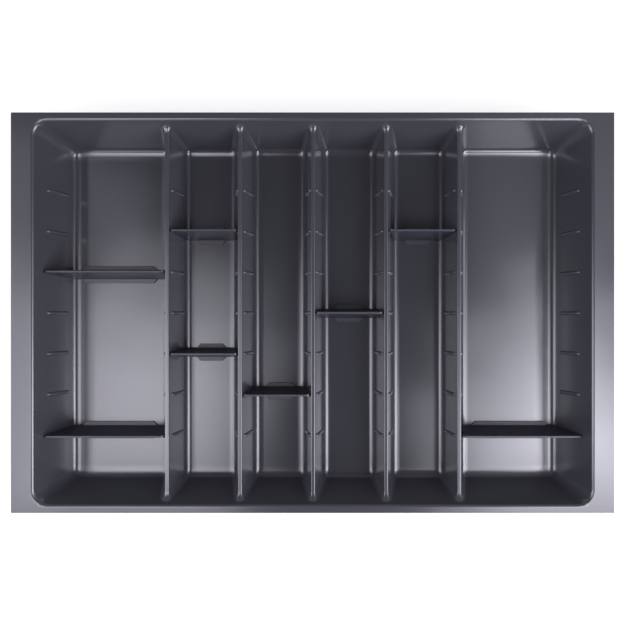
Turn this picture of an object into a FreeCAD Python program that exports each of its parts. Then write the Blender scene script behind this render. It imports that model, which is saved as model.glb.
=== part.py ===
"""Cutlery tray for a kitchen drawer: one thermoformed sheet tray with six bays and eight lift-out dividers.

The origin is the middle of the tray's underside. +X runs to the right across the bays, +Y runs to the back
of the drawer and +Z is up. All sizes are in millimetres and all angles in degrees.
"""
import FreeCAD, Part
import math
import os

# Tray: overall size and sheet
TRAY_WIDTH = 717.0
TRAY_DEPTH = 476.0
TRAY_HEIGHT = 60.0
SHEET = 2.0

# Rim: flat flange from the tray's edge to the sharp corner of the bays' walls
SIDE_FLANGE = 25.5
END_FLANGE = 9.0
RIM_ROUND = 4.5
FLANGE_EDGE_ROUND = 0.5

# Walls lean outwards so that the sheet leaves its mould
SIDE_WALL_LEAN = 21.0
END_WALL_LEAN = 19.0
CORNER_ROUND = 14.0
FLOOR_ROUND = 7.0

# Ridges: hollow folds of the sheet that part the bays
RIDGE_COUNT = 5
RIDGE_PITCH = 88.5
RIDGE_DROP = 12.0
RIDGE_TOP_WIDTH = 4.6
RIDGE_LEAN = 12.5
RIDGE_ROUND_SHARE = 0.9
RIDGE_END_ROUND = 7.0

# Beads: short raised ribs down the walls that hold the ends of the dividers
BEAD_COUNT = 7
BEAD_PITCH = 50.0
BEAD_WIDTH = 5.0
BEAD_STAND = 1.9
BEAD_TOP_DROP = 19.0
BEAD_FOOT_LIFT = 7.0

# Dividers: tapered cored plates on a flat foot, with a slot in each end over a bead
DIVIDER_TOP_WIDTH = 2.4
DIVIDER_BASE_WIDTH = 12.4
DIVIDER_TOP_DROP = 12.0
DIVIDER_TOP_ROUND = 0.5
DIVIDER_CORNER_ROUND = 14.0
DIVIDER_END_ROUND = 4.5
DIVIDER_WALL = 1.8
DIVIDER_CORE_DROP = 12.0
DIVIDER_CORE_TOP_WIDTH = 1.0
FOOT_WIDTH = 22.0
FOOT_THICKNESS = 1.8
FOOT_CORNER_CUT = 6.0
FOOT_ROUND = 0.5
END_GAP = 0.4
BEAD_GAP = 0.3

# Which bay and which pair of beads each divider stands in, counted from the left and from the back
DIVIDER_PLACES = [(1, 3), (1, 7), (2, 2), (2, 5), (3, 6), (4, 4), (5, 2), (6, 7)]

# Levels and half sizes that follow from the driving sizes
FLOOR_Z = SHEET
RIDGE_TOP_Z = TRAY_HEIGHT - RIDGE_DROP
OPENING_HALF_X = TRAY_WIDTH / 2 - SIDE_FLANGE
OPENING_HALF_Y = TRAY_DEPTH / 2 - END_FLANGE
BEAD_TOP_Z = TRAY_HEIGHT - BEAD_TOP_DROP
BEAD_FOOT_Z = FLOOR_Z + BEAD_FOOT_LIFT
DIVIDER_TOP_Z = TRAY_HEIGHT - DIVIDER_TOP_DROP
BAY_COUNT = RIDGE_COUNT + 1

# A level clear below the tray, where the bars that cut the ridges start
CUT_LOW_Z = -SHEET

# Ways that a wall can face, and how near two lengths have to be to count as the same
FACING_RIGHT = 1
FACING_LEFT = -1
NEAR = 0.001


def tan(angle):
    return math.tan(math.radians(angle))


def cos(angle):
    return math.cos(math.radians(angle))


def sin(angle):
    return math.sin(math.radians(angle))


def flat_face(points):
    """Plane face through corner points that are given in order."""
    corners = [FreeCAD.Vector(*point) for point in points]
    return Part.Face(Part.makePolygon(corners + corners[:1]))


def level_edges(shape, z):
    """Edges that lie in a level plane."""
    return [edge for edge in shape.Edges if abs(edge.BoundBox.ZMin - z) < NEAR and edge.BoundBox.ZLength < NEAR]


def opening_edges(shape, z):
    """Edges in a level plane round the tray's opening, without those at the flange's outer edge."""
    reach_x = OPENING_HALF_X + SIDE_FLANGE / 2
    reach_y = OPENING_HALF_Y + END_FLANGE / 2
    middles = [(edge, edge.CenterOfMass) for edge in level_edges(shape, z)]
    return [edge for edge, middle in middles if abs(middle.x) < reach_x and abs(middle.y) < reach_y]


def ridge_x(number):
    """Middle of a ridge, with ridge 1 between bays 1 and 2."""
    return (number - (RIDGE_COUNT + 1) / 2) * RIDGE_PITCH


def bead_y(number):
    """Middle of a row of beads, with row 1 at the back."""
    return ((BEAD_COUNT + 1) / 2 - number) * BEAD_PITCH


def bay_walls(bay):
    """Left and right wall of a bay: its x at floor level, its lean and the way it faces."""
    ridge_foot = RIDGE_TOP_WIDTH / 2 + (RIDGE_TOP_Z - FLOOR_Z) * tan(RIDGE_LEAN)
    side_foot = OPENING_HALF_X - (TRAY_HEIGHT - FLOOR_Z) * tan(SIDE_WALL_LEAN)
    if bay == 1:
        left = (-side_foot, SIDE_WALL_LEAN, FACING_RIGHT)
    else:
        left = (ridge_x(bay - 1) + ridge_foot, RIDGE_LEAN, FACING_RIGHT)
    if bay == BAY_COUNT:
        right = (side_foot, SIDE_WALL_LEAN, FACING_LEFT)
    else:
        right = (ridge_x(bay) - ridge_foot, RIDGE_LEAN, FACING_LEFT)
    return left, right


def wall_x(wall, z, gap=0.0):
    """x of a bay's wall at a height, moved into the bay by a gap square to the wall."""
    foot_x, lean, facing = wall
    return foot_x - facing * (z - FLOOR_Z) * tan(lean) + facing * gap / cos(lean)


def basin(offset):
    """Block between the four leaning walls, grown outwards from the tray's inner surface by an offset."""
    low_z = FLOOR_Z - offset
    rise = TRAY_HEIGHT - low_z
    top_x = OPENING_HALF_X + offset / cos(SIDE_WALL_LEAN)
    top_y = OPENING_HALF_Y + offset / cos(END_WALL_LEAN)
    low_x = top_x - rise * tan(SIDE_WALL_LEAN)
    low_y = top_y - rise * tan(END_WALL_LEAN)
    quarters = [(-1, -1), (1, -1), (1, 1), (-1, 1)]
    low = [(sx * low_x, sy * low_y, low_z) for sx, sy in quarters]
    top = [(sx * top_x, sy * top_y, TRAY_HEIGHT) for sx, sy in quarters]
    sides = [flat_face([low[i - 1], low[i], top[i], top[i - 1]]) for i in range(4)]
    block = Part.makeSolid(Part.makeShell(sides + [flat_face(low), flat_face(top)]))
    corners = [edge for edge in block.Edges if edge.BoundBox.ZLength > NEAR]
    return block.makeFillet(CORNER_ROUND + offset, corners)


def ridge_bar(number, offset):
    """Bar along one ridge, shrunk by an offset, with its two top edges rounded."""
    top_z = RIDGE_TOP_Z - offset
    half_top = RIDGE_TOP_WIDTH / 2 + offset * tan(RIDGE_LEAN) - offset / cos(RIDGE_LEAN)
    half_low = half_top + (top_z - CUT_LOW_Z) * tan(RIDGE_LEAN)
    x = ridge_x(number)
    y = -TRAY_DEPTH / 2
    section = flat_face([
        (x - half_low, y, CUT_LOW_Z),
        (x - half_top, y, top_z),
        (x + half_top, y, top_z),
        (x + half_low, y, CUT_LOW_Z),
    ])
    bar = section.extrude(FreeCAD.Vector(0, TRAY_DEPTH, 0))
    tops = [edge for edge in level_edges(bar, top_z) if edge.BoundBox.YLength > NEAR]
    return bar.makeFillet(RIDGE_ROUND_SHARE * half_top, tops)


def ridge_end_edges(shape):
    """Edges inside the tray where the ridges run into the two end walls."""
    found = []
    for edge in shape.Edges:
        middle = edge.valueAt((edge.FirstParameter + edge.LastParameter) / 2)
        wall_y = OPENING_HALF_Y - (TRAY_HEIGHT - middle.z) * tan(END_WALL_LEAN)
        on_wall = abs(abs(middle.y) - wall_y) < NEAR
        if on_wall and FLOOR_Z + NEAR < middle.z < RIDGE_TOP_Z + NEAR:
            if abs(middle.x) < ridge_x(RIDGE_COUNT) + RIDGE_PITCH / 2:
                found.append(edge)
    return found


def bay_block(offset):
    """All six bays as one sharp-edged block, grown from the tray's inner surface by an offset."""
    bars = [ridge_bar(number, offset) for number in range(1, RIDGE_COUNT + 1)]
    return basin(offset).cut(bars)


def bay_air():
    """The air inside the bays: the ridges flare into the end walls, and the floors turn up into the walls."""
    block = bay_block(0)
    block = block.makeFillet(RIDGE_END_ROUND, ridge_end_edges(block))
    return block.makeFillet(FLOOR_ROUND, level_edges(block, FLOOR_Z))


def bay_outside():
    """The outside of the sheet round the bays, with the ridges hollow from below."""
    block = bay_block(SHEET)
    return block.makeFillet(FLOOR_ROUND + SHEET, level_edges(block, FLOOR_Z - SHEET))


def bead(wall, y):
    """Round-ended bar that lies half sunk along a bay's wall."""
    lean, facing = wall[1], wall[2]
    radius = (BEAD_WIDTH ** 2 / 4 + BEAD_STAND ** 2) / (2 * BEAD_STAND)
    length = (BEAD_TOP_Z - BEAD_FOOT_Z) / cos(lean) - 2 * radius
    low = FreeCAD.Vector(0, 0, 0)
    high = FreeCAD.Vector(0, 0, length)
    down = FreeCAD.Vector(0, 0, -radius)
    up = FreeCAD.Vector(0, 0, length + radius)
    out = FreeCAD.Vector(radius, 0, 0)
    halfway = radius * sin(45)
    profile = Part.Wire([
        Part.LineSegment(up, down).toShape(),
        Part.Arc(down, low + FreeCAD.Vector(halfway, 0, -halfway), low + out).toShape(),
        Part.LineSegment(low + out, high + out).toShape(),
        Part.Arc(high + out, high + FreeCAD.Vector(halfway, 0, halfway), up).toShape(),
    ])
    bar = Part.Face(profile).revolve(FreeCAD.Vector(), FreeCAD.Vector(0, 0, 1), 360)
    bar.rotate(FreeCAD.Vector(), FreeCAD.Vector(0, 1, 0), -facing * lean)
    start_z = BEAD_FOOT_Z + radius * cos(lean)
    bar.translate(FreeCAD.Vector(wall_x(wall, start_z, BEAD_STAND - radius), y, start_z))
    return bar


def flange():
    """Flat plate all round the rim, with its upper edge slightly broken."""
    plate = Part.makeBox(TRAY_WIDTH, TRAY_DEPTH, SHEET)
    plate.translate(FreeCAD.Vector(-TRAY_WIDTH / 2, -TRAY_DEPTH / 2, TRAY_HEIGHT - SHEET))
    return plate.makeFillet(FLANGE_EDGE_ROUND, level_edges(plate, TRAY_HEIGHT))


def tray():
    """The sheet tray: the outside block and its flange, less the air inside and with the beads left standing."""
    outside = bay_outside().fuse(flange())
    outside = outside.makeFillet(RIM_ROUND - SHEET, opening_edges(outside, TRAY_HEIGHT - SHEET))
    walls = [wall for bay in range(1, BAY_COUNT + 1) for wall in bay_walls(bay)]
    beads = [bead(wall, bead_y(row)) for wall in walls for row in range(1, BEAD_COUNT + 1)]
    sheet = outside.cut(bay_air().cut(beads))
    return sheet.makeFillet(RIM_ROUND, opening_edges(sheet, TRAY_HEIGHT))


def divider_outline(walls):
    """Outline of a divider in its bay: top edge, two leaning ends and four rounded corners."""
    left, right = walls
    ends = [
        (wall_x(left, DIVIDER_TOP_Z, END_GAP), DIVIDER_TOP_Z),
        (wall_x(left, FLOOR_Z, END_GAP), FLOOR_Z),
        (wall_x(right, FLOOR_Z, END_GAP), FLOOR_Z),
        (wall_x(right, DIVIDER_TOP_Z, END_GAP), DIVIDER_TOP_Z),
    ]
    slab = flat_face([(x, -FOOT_WIDTH / 2, z) for x, z in ends]).extrude(FreeCAD.Vector(0, FOOT_WIDTH, 0))
    low = [edge for edge in level_edges(slab, FLOOR_Z) if edge.BoundBox.YLength > NEAR]
    slab = slab.makeFillet(DIVIDER_CORNER_ROUND, low)
    high = [edge for edge in level_edges(slab, DIVIDER_TOP_Z) if edge.BoundBox.YLength > NEAR]
    return slab.makeFillet(DIVIDER_END_ROUND, [edge for edge in high if edge.BoundBox.XLength < NEAR])


def foot_span(walls):
    """Left and right end of a divider's straight bottom edge."""
    reach = [DIVIDER_CORNER_ROUND * tan((90 - wall[1]) / 2) for wall in walls]
    left = wall_x(walls[0], FLOOR_Z, END_GAP) + reach[0]
    right = wall_x(walls[1], FLOOR_Z, END_GAP) - reach[1]
    return left, right


def taper_bar(x_low, x_high, z_low, z_high, width_low, width_high):
    """Bar along X whose width changes from its bottom to its top."""
    section = flat_face([
        (x_low, -width_low / 2, z_low),
        (x_low, width_low / 2, z_low),
        (x_low, width_high / 2, z_high),
        (x_low, -width_high / 2, z_high),
    ])
    return section.extrude(FreeCAD.Vector(x_high - x_low, 0, 0))


def divider_plate(walls):
    """Upright plate, thin at its rounded top and wider at its base."""
    x_low = wall_x(walls[0], DIVIDER_TOP_Z, 0)
    x_high = wall_x(walls[1], DIVIDER_TOP_Z, 0)
    plate = taper_bar(x_low, x_high, FLOOR_Z, DIVIDER_TOP_Z, DIVIDER_BASE_WIDTH, DIVIDER_TOP_WIDTH)
    tops = [edge for edge in level_edges(plate, DIVIDER_TOP_Z) if edge.BoundBox.XLength > NEAR]
    return plate.makeFillet(DIVIDER_TOP_ROUND, tops)


def divider_foot(walls):
    """Flat foot along the bottom of a divider, with its four corners cut off."""
    left, right = foot_span(walls)
    half = FOOT_WIDTH / 2
    cut = FOOT_CORNER_CUT
    foot = flat_face([
        (left + cut, -half, FLOOR_Z),
        (right - cut, -half, FLOOR_Z),
        (right, cut - half, FLOOR_Z),
        (right, half - cut, FLOOR_Z),
        (right - cut, half, FLOOR_Z),
        (left + cut, half, FLOOR_Z),
        (left, half - cut, FLOOR_Z),
        (left, cut - half, FLOOR_Z),
    ]).extrude(FreeCAD.Vector(0, 0, FOOT_THICKNESS))
    return foot.makeFillet(FOOT_ROUND, level_edges(foot, FLOOR_Z + FOOT_THICKNESS))


def end_strip(wall, depth, width, z_high):
    """Strip of a divider's end, from below the floor up to a height, reaching a depth in from the end."""
    z_low = CUT_LOW_Z
    facing = wall[2]
    outline = [
        (wall_x(wall, z_low, -BEAD_STAND), z_low),
        (wall_x(wall, z_low, END_GAP) + facing * depth, z_low),
        (wall_x(wall, z_high, END_GAP) + facing * depth, z_high),
        (wall_x(wall, z_high, -BEAD_STAND), z_high),
    ]
    return flat_face([(x, -width / 2, z) for x, z in outline]).extrude(FreeCAD.Vector(0, width, 0))


def divider(bay, row):
    """One lift-out divider in its place."""
    walls = bay_walls(bay)
    slot_top = BEAD_TOP_Z + BEAD_GAP
    slot_depth = (BEAD_STAND + BEAD_GAP - END_GAP) / cos(SIDE_WALL_LEAN)
    body = divider_plate(walls).common(divider_outline(walls)).fuse(divider_foot(walls))
    slots = [end_strip(wall, slot_depth, BEAD_WIDTH + 2 * BEAD_GAP, slot_top) for wall in walls]
    left, right = foot_span(walls)
    core = taper_bar(
        left + DIVIDER_WALL,
        right - DIVIDER_WALL,
        FLOOR_Z,
        DIVIDER_TOP_Z - DIVIDER_CORE_DROP,
        DIVIDER_BASE_WIDTH - 2 * DIVIDER_WALL,
        DIVIDER_CORE_TOP_WIDTH,
    )
    body = body.cut(slots + [core]).removeSplitter()
    body.translate(FreeCAD.Vector(0, bead_y(row), 0))
    return body


def save(name, shape):
    """Write one node as a STEP file and say what it is."""
    solids = shape.Solids
    box = shape.BoundBox
    shape = solids[0] if len(solids) == 1 else shape
    shape.exportStep(f"parts/{name}.step")
    size = f"{box.XLength:.1f} x {box.YLength:.1f} x {box.ZLength:.1f} mm"
    print(f"{name}: {len(solids)} solid, {size}, {shape.Volume / 1000:.1f} cm3, valid {shape.isValid()}")


os.makedirs("parts", exist_ok=True)
save("tray", tray())
for bay_number, bead_row in DIVIDER_PLACES:
    save(f"divider_bay{bay_number}_row{bead_row}", divider(bay_number, bead_row))
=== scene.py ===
# %% [markdown]
# # A cutlery tray for a kitchen drawer
# The real object is one sheet of dark satin plastic, drawn over a mould into six long bays, with eight
# loose cross dividers standing in it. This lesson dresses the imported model: a formed sheet, the beads
# pressed into its walls, the moulded dividers, two plastics, and a plain studio. Every length is in
# metres in Blender, and the sizes of the tray are written in millimetres and turned into metres once.

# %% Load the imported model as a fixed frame
import math

import bpy
import numpy as np
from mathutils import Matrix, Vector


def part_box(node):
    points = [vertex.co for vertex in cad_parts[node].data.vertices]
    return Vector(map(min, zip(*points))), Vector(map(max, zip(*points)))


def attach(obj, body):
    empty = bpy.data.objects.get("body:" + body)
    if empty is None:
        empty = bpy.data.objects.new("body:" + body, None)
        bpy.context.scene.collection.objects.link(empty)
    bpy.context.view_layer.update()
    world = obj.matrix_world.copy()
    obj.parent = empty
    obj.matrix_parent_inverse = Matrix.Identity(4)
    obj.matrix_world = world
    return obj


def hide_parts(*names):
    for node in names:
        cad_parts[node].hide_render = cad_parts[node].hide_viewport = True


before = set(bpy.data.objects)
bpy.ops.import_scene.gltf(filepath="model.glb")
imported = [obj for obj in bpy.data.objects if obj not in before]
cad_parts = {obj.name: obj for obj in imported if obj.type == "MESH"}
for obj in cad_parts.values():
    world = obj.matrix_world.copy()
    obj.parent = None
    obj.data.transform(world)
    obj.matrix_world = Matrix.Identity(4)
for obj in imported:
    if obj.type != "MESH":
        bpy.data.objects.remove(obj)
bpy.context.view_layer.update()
scene = bpy.context.scene
MM = 0.001

# %% [markdown]
# ## Camera
# The photograph looks straight down from about 0.72 m. The floors of the bays sit a little to the right
# of where a camera over the middle would show them, so the camera stands slightly to the right and its
# lens is shifted back to centre the rim. Turning the camera would tilt the tray's straight edges, which
# the photograph doesn't show.

# %% Camera over the tray
CAMERA_PLACE = (0.031, -0.010, 0.720)
CAMERA_LENS = 32.07
CAMERA_SENSOR = 36.0
CAMERA_SHIFT_X, CAMERA_SHIFT_Y = -0.0427, 0.0146

camera_data = bpy.data.cameras.new("camera")
camera_data.sensor_width = CAMERA_SENSOR
camera_data.lens = CAMERA_LENS
camera_data.shift_x = CAMERA_SHIFT_X
camera_data.shift_y = CAMERA_SHIFT_Y
camera = bpy.data.objects.new("camera", camera_data)
camera.location = CAMERA_PLACE
scene.collection.objects.link(camera)
scene.camera = camera
print("camera height:", CAMERA_PLACE[2])

# %% [markdown]
# ## Studio
# The photograph was lit by large softboxes to the left and right of the front, with nothing bright
# overhead: the bay floors shine where they mirror a lamp and go nearly black in the middle at the back.
# The light on the floors fades over a hand's width at each lamp's inner and back edge, so a lamp is
# built from five panels whose edges differ. They lie a centimetre apart, because panels in one plane
# would hide each other in the plastic. A dim lamp stands further back on the right. Two panels low at
# the front reach the back walls by way of the floors. The room is pale near the horizon and dark above.
# The table is mostly its own white, with some plain white paint that still takes the tray's shadow.

# %% Softboxes left and right
EVEN_FADES = (-0.11, -0.05, 0.0, 0.05, 0.11)
PANEL_GAP = 0.01
LAMP_TINT = (0.970, 0.965, 1.075)


def area_lamp(name, size, radiance, place, rotation):
    """Rectangular lamp of a given brightness, which the camera itself doesn't see."""
    data = bpy.data.lights.new(name, "AREA")
    data.shape = "RECTANGLE"
    data.size, data.size_y = size
    data.energy = radiance * math.pi * size[0] * size[1]
    data.color = LAMP_TINT
    lamp = bpy.data.objects.new(name, data)
    lamp.location = place
    lamp.rotation_euler = rotation
    lamp.visible_camera = False
    scene.collection.objects.link(lamp)


def softbox(name, inner, outer, front, backs, radiance, fades=EVEN_FADES, turn=0.0):
    """Slanted lamp between an inner and an outer edge, each (x, z), made of panels with differing edges."""
    run, drop = abs(outer[0] - inner[0]), inner[1] - outer[1]
    side = math.copysign(1, outer[0])
    rotation = (0, side * math.atan2(drop, run), side * math.radians(turn))
    for number, (fade, back) in enumerate(zip(fades, backs)):
        size = (math.hypot(run, drop) + 2 * fade, back - front + fade)
        height = (inner[1] + outer[1]) / 2 + number * PANEL_GAP
        place = ((inner[0] + outer[0]) / 2, (front + back - fade) / 2, height)
        area_lamp(f"{name}_{number}", size, radiance / len(backs), place, rotation)
    print(name, "from", inner, "to", outer)


softbox("left_near", inner=(-0.290, 1.115), outer=(-0.74, 0.88), front=-0.545, radiance=5.0, turn=13,
        backs=(-0.145, -0.02, 0.01, 0.145, 0.235), fades=(0.045, -0.12, 0.10, 0.0, -0.045))
softbox("left_far", inner=(-0.74, 0.88), outer=(-1.0, 0.75), front=-0.50, radiance=2.5, turn=13,
        backs=(-0.10, 0.04, 0.10, 0.18, 0.48))
softbox("left_low", inner=(-1.0, 0.75), outer=(-1.6, 0.45), front=-0.66, radiance=6.5,
        backs=(-0.20, -0.03, 0.06, 0.13, 0.30))
softbox("right_near", inner=(0.475, 1.1), outer=(0.91, 0.873), front=-0.575, radiance=9.6, turn=10,
        backs=(-0.31, -0.185, -0.075, 0.045, 0.19), fades=(-0.03, 0.185, -0.10, 0.06, -0.16))
softbox("right_back", inner=(0.50, 1.09), outer=(0.86, 0.90), front=0.05, radiance=0.55,
        backs=(0.30, 0.45, 0.60, 0.75, 0.90))
softbox("right_low", inner=(1.05, 0.80), outer=(1.7, 0.45), front=-1.0, radiance=13.0,
        backs=(-0.50, -0.30, -0.16, -0.02, 0.34))

# %% Panels low at the front
FRONT_SIZE = (0.50, 0.34)
FRONT_TILT = math.radians(58)
FRONT_LAMPS = {
    "front_right": ((0.74, -0.90, 0.70), 9.0),
    "front_left": ((-0.80, -0.90, 0.70), 2.3),
}

for name, (place, radiance) in FRONT_LAMPS.items():
    area_lamp(name, FRONT_SIZE, radiance, place, (FRONT_TILT, 0, 0))
    print(name, "at", place)

# %% Room: pale at the horizon, dark overhead
HORIZON_LIGHT = (0.38, 0.38, 0.395, 1)
OVERHEAD_LIGHT = (0.06, 0.06, 0.065, 1)
HORIZON_UP_TO, OVERHEAD_FROM = 0.22, 0.55

room = bpy.data.worlds.new("room")
scene.world = room
room.use_nodes = True
nodes, links = room.node_tree.nodes, room.node_tree.links
direction = nodes.new("ShaderNodeTexCoord")
split = nodes.new("ShaderNodeSeparateXYZ")
ramp = nodes.new("ShaderNodeValToRGB")
links.new(direction.outputs["Generated"], split.inputs[0])
links.new(split.outputs["Z"], ramp.inputs["Fac"])
ramp.color_ramp.elements[0].position = HORIZON_UP_TO
ramp.color_ramp.elements[0].color = HORIZON_LIGHT
ramp.color_ramp.elements[1].position = OVERHEAD_FROM
ramp.color_ramp.elements[1].color = OVERHEAD_LIGHT
links.new(ramp.outputs["Color"], nodes["Background"].inputs["Color"])
scene.view_settings.view_transform = "Standard"
print("room light from", OVERHEAD_LIGHT[0], "overhead to", HORIZON_LIGHT[0], "at the horizon")

# %% Table
TABLE_HALF = 6.0
TABLE_GLOW = 0.79
TABLE_PAINT = (0.30, 0.30, 0.30, 1)

table_mesh = bpy.data.meshes.new("table")
corners = [(sx * TABLE_HALF, sy * TABLE_HALF, 0) for sx, sy in ((-1, -1), (1, -1), (1, 1), (-1, 1))]
table_mesh.from_pydata(corners, [], [(0, 1, 2, 3)])
table = bpy.data.objects.new("table", table_mesh)
scene.collection.objects.link(table)
table_white = bpy.data.materials.new("table_white")
table_white.use_nodes = True
nodes, links = table_white.node_tree.nodes, table_white.node_tree.links
nodes.clear()
paint = nodes.new("ShaderNodeBsdfDiffuse")
paint.inputs["Color"].default_value = TABLE_PAINT
glow = nodes.new("ShaderNodeEmission")
glow.inputs["Strength"].default_value = TABLE_GLOW
both = nodes.new("ShaderNodeAddShader")
output = nodes.new("ShaderNodeOutputMaterial")
links.new(paint.outputs[0], both.inputs[0])
links.new(glow.outputs[0], both.inputs[1])
links.new(both.outputs[0], output.inputs["Surface"])
table_mesh.materials.append(table_white)
print("table:", 2 * TABLE_HALF, "m wide")

# %% [markdown]
# ## Satin plastic
# Both plastics come off a blasted mould, so both have the same fine grain: tiny bumps, and slow patches
# that are a little glossier or greyer. That effect is one node group with its own values in each
# material. It works on Object coordinates, which stay with a piece when it moves. The shader itself
# stays in each material. The dividers are taken out and put back by their top edges, so those are
# rubbed a little duller.

# %% Grain shared by both plastics
CLOUD_SCALE, CLOUD_DETAIL = 16.0, 4.0
GRAIN_DETAIL, GRAIN_SHARPNESS = 3.0, 0.6
NOISE_MIDDLE = 0.5


def math_node(tree, operation, *values):
    """Put a Math node fed by sockets or plain numbers into a tree, and hand back its output."""
    node = tree.nodes.new("ShaderNodeMath")
    node.operation = operation
    for socket, value in zip(node.inputs, values):
        if isinstance(value, (int, float)):
            socket.default_value = value
        else:
            tree.links.new(value, socket)
    return node.outputs[0]


def satin_grain():
    """Node group that puts out the colour, roughness and grain height of a blasted plastic surface."""
    group = bpy.data.node_groups.new("satin_grain", "ShaderNodeTree")
    sockets = group.interface.new_socket
    sockets("Tone", in_out="INPUT", socket_type="NodeSocketColor")
    for name in ("Tone Spread", "Roughness", "Roughness Spread", "Grain Scale"):
        sockets(name, in_out="INPUT", socket_type="NodeSocketFloat")
    sockets("Color", in_out="OUTPUT", socket_type="NodeSocketColor")
    sockets("Roughness", in_out="OUTPUT", socket_type="NodeSocketFloat")
    sockets("Height", in_out="OUTPUT", socket_type="NodeSocketFloat")
    make, link = group.nodes.new, group.links.new
    given = make("NodeGroupInput")
    result = make("NodeGroupOutput")
    place = make("ShaderNodeTexCoord")

    grain = make("ShaderNodeTexNoise")
    grain.inputs["Detail"].default_value = GRAIN_DETAIL
    grain.inputs["Roughness"].default_value = GRAIN_SHARPNESS
    link(place.outputs["Object"], grain.inputs["Vector"])
    link(given.outputs["Grain Scale"], grain.inputs["Scale"])
    link(grain.outputs["Fac"], result.inputs["Height"])

    cloud = make("ShaderNodeTexNoise")
    cloud.inputs["Scale"].default_value = CLOUD_SCALE
    cloud.inputs["Detail"].default_value = CLOUD_DETAIL
    link(place.outputs["Object"], cloud.inputs["Vector"])

    def swing(source, spread, middle):
        """Value that swings about a middle by a spread, after a noise that runs from 0 to 1."""
        centred = math_node(group, "SUBTRACT", source, NOISE_MIDDLE)
        return math_node(group, "MULTIPLY_ADD", centred, given.outputs[spread], middle)

    roughness = swing(cloud.outputs["Fac"], "Roughness Spread", given.outputs["Roughness"])
    link(roughness, result.inputs["Roughness"])
    lighter = make("ShaderNodeVectorMath")
    lighter.operation = "SCALE"
    link(given.outputs["Tone"], lighter.inputs[0])
    link(swing(grain.outputs["Fac"], "Tone Spread", 1.0), lighter.inputs["Scale"])
    link(lighter.outputs[0], result.inputs["Color"])
    return group


grain_group = satin_grain()
grain_inputs = [item.name for item in grain_group.interface.items_tree if item.in_out == "INPUT"]
print("grain group inputs:", grain_inputs)

# %% The two plastics
TONE_SPREAD, ROUGHNESS_SPREAD = 0.25, 0.06
BUMP_STRENGTH, BUMP_HEIGHT = 0.12, 0.00003
SHEET_TONE = (0.044, 0.044, 0.052)
DIVIDER_TONE = (0.017, 0.018, 0.028)


def satin_plastic(name, tone, roughness, shine, grain_scale):
    """Dark satin plastic with the shared grain."""
    material = bpy.data.materials.new(name)
    material.use_nodes = True
    nodes, links = material.node_tree.nodes, material.node_tree.links
    shader = nodes["Principled BSDF"]
    shader.inputs["Specular IOR Level"].default_value = shine
    grain = nodes.new("ShaderNodeGroup")
    grain.node_tree = grain_group
    grain.inputs["Tone"].default_value = (*tone, 1)
    grain.inputs["Tone Spread"].default_value = TONE_SPREAD
    grain.inputs["Roughness"].default_value = roughness
    grain.inputs["Roughness Spread"].default_value = ROUGHNESS_SPREAD
    grain.inputs["Grain Scale"].default_value = grain_scale
    bump = nodes.new("ShaderNodeBump")
    bump.inputs["Strength"].default_value = BUMP_STRENGTH
    bump.inputs["Distance"].default_value = BUMP_HEIGHT
    links.new(grain.outputs["Color"], shader.inputs["Base Color"])
    links.new(grain.outputs["Roughness"], shader.inputs["Roughness"])
    links.new(grain.outputs["Height"], bump.inputs["Height"])
    links.new(bump.outputs["Normal"], shader.inputs["Normal"])
    return material


sheet_satin = satin_plastic("sheet_satin", SHEET_TONE, roughness=0.18, shine=0.9, grain_scale=1500.0)
divider_satin = satin_plastic("divider_satin", DIVIDER_TONE, roughness=0.42, shine=0.8, grain_scale=1200.0)
print("plastics:", sheet_satin.name, divider_satin.name)

# %% Top edge of the dividers, rubbed by hands
RUB_FROM, RUB_FULL, RUB_ROUGHNESS = 46.8, 47.6, 0.15


def rub_top(material):
    """Make a plastic duller along its top edge, where hands take hold of it."""
    nodes, links = material.node_tree.nodes, material.node_tree.links
    shader = nodes["Principled BSDF"]
    place = nodes.new("ShaderNodeTexCoord")
    apart = nodes.new("ShaderNodeSeparateXYZ")
    rubbed = nodes.new("ShaderNodeMapRange")
    rubbed.inputs["From Min"].default_value = RUB_FROM * MM
    rubbed.inputs["From Max"].default_value = RUB_FULL * MM
    rubbed.inputs["To Max"].default_value = RUB_ROUGHNESS
    links.new(place.outputs["Object"], apart.inputs[0])
    links.new(apart.outputs["Z"], rubbed.inputs["Value"])
    plain = shader.inputs["Roughness"].links[0].from_socket
    duller = math_node(material.node_tree, "ADD", plain, rubbed.outputs[0])
    links.new(duller, shader.inputs["Roughness"])


rub_top(divider_satin)
print("duller above", RUB_FROM, "mm:", divider_satin.name)

# %% [markdown]
# ## The formed sheet
# The tray is one sheet: a flange, leaning walls, floors, and hollow ridges between the bays. Drawn
# sheet has no sharp inner corner. It turns slowly up from the floor and more tightly into the wall, and
# it flares where a ridge runs into an end wall. Its outer floors fall away towards the side walls,
# which is why the photograph has a dark strip beside those: there the floor mirrors the wall. Its four
# corners get wider towards the rim. Modelling all that by bevels would break at the corners where three
# bends meet. So the sheet is worked out as a height over a grid: every plane of the mould gives a
# distance, the distances are blended into rounded corners, and the height is where the blend is zero.
# The same blend, moved by the sheet's thickness, gives the underside. Grid lines lie close together
# only where the sheet bends.

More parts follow.
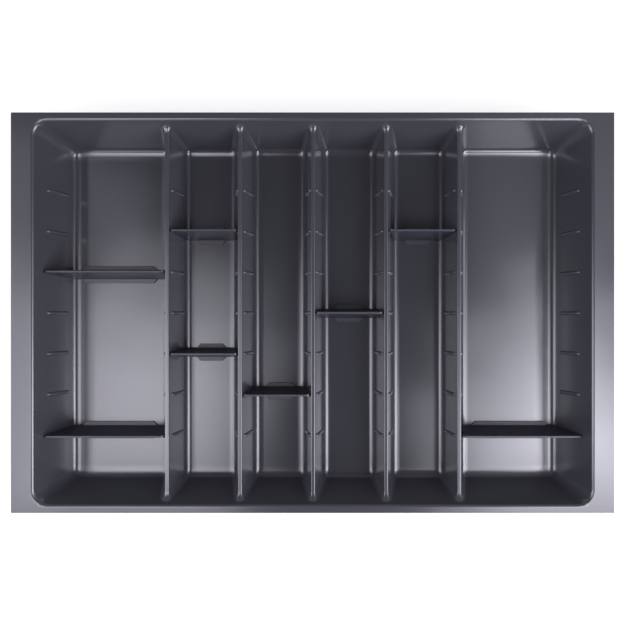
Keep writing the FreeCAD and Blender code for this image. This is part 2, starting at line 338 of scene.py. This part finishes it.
# %% Sizes of the sheet in millimetres
WIDTH, DEPTH, HEIGHT = [(high - low) / MM for low, high in zip(*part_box("tray"))]
SHEET = 2.0
FLOOR = SHEET
SIDE_FLANGE, END_FLANGE = 25.5, 9.0
SIDE_LEAN, END_LEAN, RIDGE_LEAN = math.radians(21.0), math.radians(19.0), math.radians(12.5)
RIDGE_PITCH, LAST_RIDGE = 88.5, 2
RIDGE_TOP, RIDGE_HALF = 48.0, 2.15
SIDE_FOOT = WIDTH / 2 - SIDE_FLANGE - (HEIGHT - FLOOR) * math.tan(SIDE_LEAN)
END_FOOT = DEPTH / 2 - END_FLANGE - (HEIGHT - FLOOR) * math.tan(END_LEAN)
print(f"sheet: {WIDTH:.1f} x {DEPTH:.1f} x {HEIGHT:.1f} mm")
print(f"floor: {2 * SIDE_FOOT:.1f} x {2 * END_FOOT:.1f} mm")

# %% Ridges, falling floors and the reach of the bends
RIDGE_FOOT = RIDGE_HALF + (RIDGE_TOP - FLOOR) * math.tan(RIDGE_LEAN)
FALL_FROM, FALL_FULL = 30.0, 10.0
FALL_SLOPE = math.tan(math.radians(9.3))
WALL_REACH, CORNER_REACH, END_REACH = 9.0, 17.0, 8.0
CORNER_FROM, CORNER_FULL = 40.0, 10.0


def ridge_distance(x):
    """Distance across the tray from the middle of the nearest ridge."""
    return np.abs(x - RIDGE_PITCH * np.clip(np.round(x / RIDGE_PITCH), -LAST_RIDGE, LAST_RIDGE))


def floor_height(x):
    """Height of the floors, which fall away a little towards the two outer walls."""
    run = np.maximum(FALL_FROM - SIDE_FOOT + np.abs(x), 0)
    ease = FALL_FROM - FALL_FULL
    return FLOOR - FALL_SLOPE * np.where(run < ease, run ** 2 / (2 * ease), run - ease / 2)


def wall_reaches(x, z):
    """How far the bends at the side and end walls reach: further up in the tray's four corners."""
    corner = WALL_REACH + (CORNER_REACH - WALL_REACH) * np.clip((z - FLOOR) / (HEIGHT - FLOOR), 0, 1)
    share = np.clip((np.abs(x) - SIDE_FOOT + CORNER_FROM) / (CORNER_FROM - CORNER_FULL), 0, 1)
    return corner, END_REACH + (corner - END_REACH) * share ** 2 * (3 - 2 * share)


drop_outside = FLOOR - float(floor_height(SIDE_FOOT))
print("the floors' planes fall", round(drop_outside, 2), "mm to the outer walls, before the bends")

# %% Blend of the mould's planes
FLOOR_REACH, RIDGE_REACH = 5.5, 6.5
CROWN_ROUND, LEAST_CROWN = 0.9, 0.3
RIM_ROUND, RIM_TIGHTENING = 2.3, 0.5


def rounded(first, second, radius):
    """Distance from a solid corner between two planes, with its edge rounded."""
    a, b = first + radius, second + radius
    return np.hypot(np.maximum(a, 0), np.maximum(b, 0)) + np.minimum(np.maximum(a, b), 0) - radius


def sheet_blend(x, y, z, inward):
    """Zero on the sheet's upper surface, or a depth inward from it, above zero in the air."""
    up = z - FLOOR
    side = (SIDE_FOOT - np.abs(x)) * math.cos(SIDE_LEAN) + up * math.sin(SIDE_LEAN)
    end = (END_FOOT - np.abs(y)) * math.cos(END_LEAN) + up * math.sin(END_LEAN)
    beside = ridge_distance(x) - RIDGE_HALF
    face = beside * math.cos(RIDGE_LEAN) - (RIDGE_TOP - z) * math.sin(RIDGE_LEAN)
    ridge = rounded(face + inward, z - RIDGE_TOP + inward, max(CROWN_ROUND - inward, LEAST_CROWN))
    side_reach, end_reach = wall_reaches(x, z)
    floor = z - floor_height(x)
    planes = ((floor + inward, FLOOR_REACH), (side + inward, side_reach), (end + inward, end_reach),
              (ridge, RIDGE_REACH))
    squeeze = sum(np.maximum(1 - gap / (reach + inward), 0) ** 2 for gap, reach in planes)
    air = np.where(end < side, end_reach, side_reach) * (1 - np.sqrt(squeeze))
    return rounded(air, z - HEIGHT + inward, RIM_ROUND - inward * RIM_TIGHTENING)


probes = [float(sheet_blend(RIDGE_PITCH / 2, 0, z, 0)) for z in (FLOOR - 1, FLOOR + 1)]
print("blend 1 mm under and over a floor:", np.round(probes, 2))

# %% Height of the sheet, found by halving
HALVINGS = 44


def sheet_height(x, y, inward):
    """Height of the sheet's upper surface, or of the surface a depth inward from it."""
    low, high = np.full(np.shape(x), -1.0), np.full(np.shape(x), HEIGHT + 1.0)
    for _ in range(HALVINGS):
        middle = (low + high) / 2
        below = sheet_blend(x, y, middle, inward) < 0
        low, high = np.where(below, middle, low), np.where(below, high, middle)
    return (low + high) / 2


samples = sheet_height(np.array([0, RIDGE_PITCH / 2, WIDTH / 2 - SIDE_FLANGE / 2]), np.zeros(3), 0.0)
print("heights at a ridge, a floor and the flange:", np.round(samples, 2))

# %% Grid lines, close together where the sheet bends
BEND_STEP = math.radians(12.0)
HIDDEN_BEND_STEP = math.radians(33.0)
LONGEST_STEP, SECTION_POINTS = 14.0, 8001
EDGE_ROUND = 0.5
EDGE_LINES = (0.25, 0.08, 0.0)
FLARE_Y, FLARE_X = 3.0, 4.5
CORNER_RISE = 38.0


def bend_lines(half, sections):
    """Lines from -half to half, placed by how much the given sections of the sheet bend."""
    along = np.linspace(0, half - EDGE_ROUND, SECTION_POINTS)
    crowd = np.full(along.size, 1 / LONGEST_STEP)
    for section, step in sections:
        slope = np.arctan(np.gradient(section(along), along))
        crowd = crowd + np.abs(np.gradient(slope, along)) / step
    total = np.concatenate(([0], np.cumsum((crowd[1:] + crowd[:-1]) / 2 * np.diff(along))))
    inner = np.interp(np.linspace(0, total[-1], math.ceil(total[-1]) + 1), total, along)
    outer = half - np.array(EDGE_LINES)
    right = np.concatenate((inner, outer))
    return np.concatenate((-right[:0:-1], right))


def along_x(y, inward):
    """Section of the sheet from left to right at one place in the depth."""
    return lambda x: sheet_height(x, np.full_like(x, y), inward)


def along_y(x, inward):
    """Section of the sheet from front to back at one place in the width."""
    return lambda y: sheet_height(np.full_like(y, x), y, inward)


# Besides the middle, the sections cross the flares at the ridges' ends and the tray's four corners.
flare_line = END_FOOT + (RIDGE_TOP - FLOOR) * math.tan(END_LEAN) - FLARE_Y
x_sections = [
    (along_x(0, 0.0), BEND_STEP),
    (along_x(flare_line, 0.0), 2 * BEND_STEP),
    (along_x(END_FOOT + CORNER_RISE * math.tan(END_LEAN), 0.0), 2 * BEND_STEP),
    (along_x(0, SHEET), HIDDEN_BEND_STEP),
]
y_sections = [
    (along_y(RIDGE_PITCH / 2, 0.0), BEND_STEP),
    (along_y(0, 0.0), BEND_STEP),
    (along_y(FLARE_X, 0.0), 2 * BEND_STEP),
    (along_y(SIDE_FOOT + CORNER_RISE * math.tan(SIDE_LEAN), 0.0), 2 * BEND_STEP),
    (along_y(RIDGE_PITCH / 2, SHEET), HIDDEN_BEND_STEP),
]
x_lines = bend_lines(WIDTH / 2, x_sections)
y_lines = bend_lines(DEPTH / 2, y_sections)
print("grid lines:", x_lines.size, "by", y_lines.size)

# %% Points and normals of both surfaces
NUDGE = 0.001
grid_x, grid_y = np.meshgrid(x_lines, y_lines, indexing="ij")


def surface_normals(x, y, z, inward):
    """Unit normals that point into the air, from how the blend changes."""
    change = []
    for move in ((NUDGE, 0, 0), (0, NUDGE, 0), (0, 0, NUDGE)):
        ahead = sheet_blend(x + move[0], y + move[1], z + move[2], inward)
        behind = sheet_blend(x - move[0], y - move[1], z - move[2], inward)
        change.append(ahead - behind)
    normals = np.stack(change, axis=-1)
    return normals / np.linalg.norm(normals, axis=-1, keepdims=True)


top_z = sheet_height(grid_x, grid_y, 0.0)
low_z = sheet_height(grid_x, grid_y, SHEET)
top_normals = surface_normals(grid_x, grid_y, top_z, 0.0)
low_normals = -surface_normals(grid_x, grid_y, low_z, SHEET)
low_normals[low_z < 0] = (0, 0, -1)
low_z = np.maximum(low_z, 0)
inset_x = np.maximum(EDGE_ROUND - (WIDTH / 2 - np.abs(grid_x)), 0)
inset_y = np.maximum(EDGE_ROUND - (DEPTH / 2 - np.abs(grid_y)), 0)
inset = np.minimum(np.hypot(inset_x, inset_y), EDGE_ROUND)
fall = EDGE_ROUND - np.sqrt(EDGE_ROUND ** 2 - inset ** 2)
at_edge = inset > 0
top_z = top_z - fall
outward_x, outward_y = np.sign(grid_x) * inset_x, np.sign(grid_y) * inset_y
edge_normals = np.stack((outward_x, outward_y, EDGE_ROUND - fall), axis=-1)
edge_normals[at_edge] /= np.linalg.norm(edge_normals[at_edge], axis=-1, keepdims=True)
top_normals[at_edge] = edge_normals[at_edge]
print("upper surface from", round(top_z.min(), 3), "to", round(top_z.max(), 3), "mm")

# %% Sheet mesh
def sheet_mesh():
    """Closed mesh of the sheet with its exact normals at every face corner."""
    count_x, count_y = grid_x.shape
    index = np.arange(count_x * count_y).reshape(count_x, count_y)
    top_points = np.stack((grid_x, grid_y, top_z), axis=-1).reshape(-1, 3)
    low_points = np.stack((grid_x, grid_y, low_z), axis=-1).reshape(-1, 3)
    first = index[:-1, :-1].ravel()
    across = index[1:, :-1].ravel()
    corner = index[1:, 1:].ravel()
    beside = index[:-1, 1:].ravel()
    top_faces = np.stack((first, across, corner, beside), axis=-1)
    low_faces = np.stack((first, beside, corner, across), axis=-1) + index.size
    loop = np.concatenate((index[:-1, 0], index[-1, :-1], index[:0:-1, -1], index[0, :0:-1]))
    after = np.roll(loop, -1)
    side_faces = np.stack((loop + index.size, after + index.size, after, loop), axis=-1)
    faces = np.concatenate((top_faces, low_faces, side_faces))
    points = np.concatenate((top_points, low_points)) * MM
    mesh = bpy.data.meshes.new("tray_sheet")
    mesh.from_pydata(points.tolist(), [], faces.tolist())
    normals = np.concatenate((top_normals.reshape(-1, 3), low_normals.reshape(-1, 3)))
    corner_normals = normals[faces]
    step = points[side_faces[:, 1]] - points[side_faces[:, 0]]
    outward = np.stack((step[:, 1], -step[:, 0], np.zeros(len(step))), axis=-1)
    outward /= np.linalg.norm(outward, axis=-1, keepdims=True)
    corner_normals[-len(side_faces):] = outward[:, None, :]
    mesh.normals_split_custom_set(corner_normals.reshape(-1, 3).tolist())
    mesh.materials.append(sheet_satin)
    mesh.validate()
    return mesh


tray_sheet = bpy.data.objects.new("tray_sheet", sheet_mesh())
scene.collection.objects.link(tray_sheet)
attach(tray_sheet, "tray")
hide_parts("tray")
print("tray sheet:", len(tray_sheet.data.polygons), "faces")

# %% [markdown]
# ## Wall beads
# Seven beads stand down each wall of every bay, opposite each other, and the ends of the dividers go
# over them. On the real tray they are pressed into the sheet. Eighty-four copies of one small shape is
# work for Geometry Nodes: the script lays out one point for each bead with the turn of its wall, and
# the tree puts a bead on each point. The bead is a ball drawn out to a bar, with its back cut flat so
# that it stays inside the sheet.

# %% Where the beads stand
BEAD_ROWS, BEAD_PITCH = 7, 50.0
BEAD_LOW, BEAD_HIGH = 9.0, 41.0
BEAD_WIDTH, BEAD_STAND = 5.0, 1.9
bead_radius = (BEAD_WIDTH ** 2 / 4 + BEAD_STAND ** 2) / (2 * BEAD_STAND)


def bay_walls():
    """Foot, lean and facing of the two walls of every bay, from the left."""
    ridges = [number * RIDGE_PITCH for number in range(-LAST_RIDGE, LAST_RIDGE + 1)]
    walls = [(-SIDE_FOOT, SIDE_LEAN, 1)]
    for x in ridges:
        walls += [(x - RIDGE_FOOT, RIDGE_LEAN, -1), (x + RIDGE_FOOT, RIDGE_LEAN, 1)]
    return walls + [(SIDE_FOOT, SIDE_LEAN, -1)]


seats, turns = [], []
bead_middle = (BEAD_LOW + BEAD_HIGH) / 2
for foot, lean, facing in bay_walls():
    sunk = BEAD_STAND - bead_radius
    x = foot - facing * (bead_middle - FLOOR) * math.tan(lean) + facing * sunk / math.cos(lean)
    for row in range(BEAD_ROWS):
        y = (row - (BEAD_ROWS - 1) / 2) * BEAD_PITCH
        seats.append((x * MM, y * MM, bead_middle * MM))
        turns.append((0, -lean, 0 if facing > 0 else math.pi))
print("bead seats:", len(seats), "bead radius:", round(bead_radius, 2), "mm")

# %% Bead tree
BEAD_SEGMENTS, BEAD_RINGS = 20, 12


def bead_tree():
    """Tree that stands a flat-backed bar on every point, turned by the point's own turn."""
    tree = bpy.data.node_groups.new("wall_beads", "GeometryNodeTree")
    socket = tree.interface.new_socket
    socket("Geometry", in_out="INPUT", socket_type="NodeSocketGeometry")
    for name in ("Radius", "Straight Length", "Back Depth"):
        socket(name, in_out="INPUT", socket_type="NodeSocketFloat")
    socket("Finish", in_out="INPUT", socket_type="NodeSocketMaterial")
    socket("Geometry", in_out="OUTPUT", socket_type="NodeSocketGeometry")
    make, link = tree.nodes.new, tree.links.new
    given, result = make("NodeGroupInput"), make("NodeGroupOutput")

    ball = make("GeometryNodeMeshUVSphere")
    ball.inputs["Segments"].default_value = BEAD_SEGMENTS
    ball.inputs["Rings"].default_value = BEAD_RINGS
    link(given.outputs["Radius"], ball.inputs["Radius"])

    place = make("GeometryNodeInputPosition")
    apart = make("ShaderNodeSeparateXYZ")
    link(place.outputs[0], apart.inputs[0])
    way = math_node(tree, "SIGN", apart.outputs["Z"])
    half = math_node(tree, "MULTIPLY", given.outputs["Straight Length"], 0.5)
    drawn_out = math_node(tree, "MULTIPLY_ADD", way, half, apart.outputs["Z"])
    back = math_node(tree, "MULTIPLY", given.outputs["Back Depth"], -1.0)
    flat_backed = math_node(tree, "MAXIMUM", apart.outputs["X"], back)
    joined = make("ShaderNodeCombineXYZ")
    link(flat_backed, joined.inputs["X"])
    link(apart.outputs["Y"], joined.inputs["Y"])
    link(drawn_out, joined.inputs["Z"])
    shape = make("GeometryNodeSetPosition")
    link(ball.outputs["Mesh"], shape.inputs["Geometry"])
    link(joined.outputs[0], shape.inputs["Position"])

    turn = make("GeometryNodeInputNamedAttribute")
    turn.data_type = "FLOAT_VECTOR"
    turn.inputs["Name"].default_value = "turn"
    rotation = make("FunctionNodeEulerToRotation")
    link(turn.outputs["Attribute"], rotation.inputs[0])
    stand = make("GeometryNodeInstanceOnPoints")
    link(given.outputs["Geometry"], stand.inputs["Points"])
    link(shape.outputs["Geometry"], stand.inputs["Instance"])
    link(rotation.outputs[0], stand.inputs["Rotation"])
    real = make("GeometryNodeRealizeInstances")
    link(stand.outputs[0], real.inputs[0])
    smooth = make("GeometryNodeSetShadeSmooth")
    link(real.outputs[0], smooth.inputs["Geometry"])
    finish = make("GeometryNodeSetMaterial")
    link(smooth.outputs[0], finish.inputs["Geometry"])
    link(given.outputs["Finish"], finish.inputs["Material"])
    link(finish.outputs[0], result.inputs[0])
    return tree


bead_group = bead_tree()
print("bead tree nodes:", len(bead_group.nodes))

# %% Beads made into one plain mesh
BEAD_BACK = 1.0


def settle(name, points, attributes, tree, values):
    """Run a tree on loose points and keep what it makes as a plain mesh object at the origin."""
    seed_mesh = bpy.data.meshes.new(name + "_points")
    seed_mesh.from_pydata(points, [], [])
    for key, rows in attributes.items():
        attribute = seed_mesh.attributes.new(key, "FLOAT_VECTOR", "POINT")
        attribute.data.foreach_set("vector", np.ravel(rows))
    maker = bpy.data.objects.new(name + "_maker", seed_mesh)
    scene.collection.objects.link(maker)
    modifier = maker.modifiers.new("tree", "NODES")
    modifier.node_group = tree
    for item in tree.interface.items_tree:
        if item.in_out == "INPUT" and item.name in values:
            modifier[item.identifier] = values[item.name]
    evaluated = maker.evaluated_get(bpy.context.evaluated_depsgraph_get())
    mesh = bpy.data.meshes.new_from_object(evaluated)
    mesh.name = name
    piece = bpy.data.objects.new(name, mesh)
    scene.collection.objects.link(piece)
    bpy.data.objects.remove(maker)
    return piece


bead_values = {
    "Radius": bead_radius * MM,
    "Straight Length": ((BEAD_HIGH - BEAD_LOW) / math.cos(RIDGE_LEAN) - 2 * bead_radius) * MM,
    "Back Depth": BEAD_BACK * MM,
    "Finish": sheet_satin,
}
wall_beads = settle("wall_beads", seats, {"turn": turns}, bead_group, bead_values)
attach(wall_beads, "tray")
print("wall beads:", len(wall_beads.data.polygons), "faces")

# %% [markdown]
# ## Dividers
# The dividers are moulded plates on a flat foot. Their solids already have the taper, the rounded top
# edge, the cut corners of the foot and the slots over the beads, so they stay as they are and take the
# divider's plastic.

# %% Dividers in their plastic
for name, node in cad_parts.items():
    if name.startswith("divider"):
        node.data.materials.clear()
        node.data.materials.append(divider_satin)
print("dividers:", sum(name.startswith("divider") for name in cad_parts))
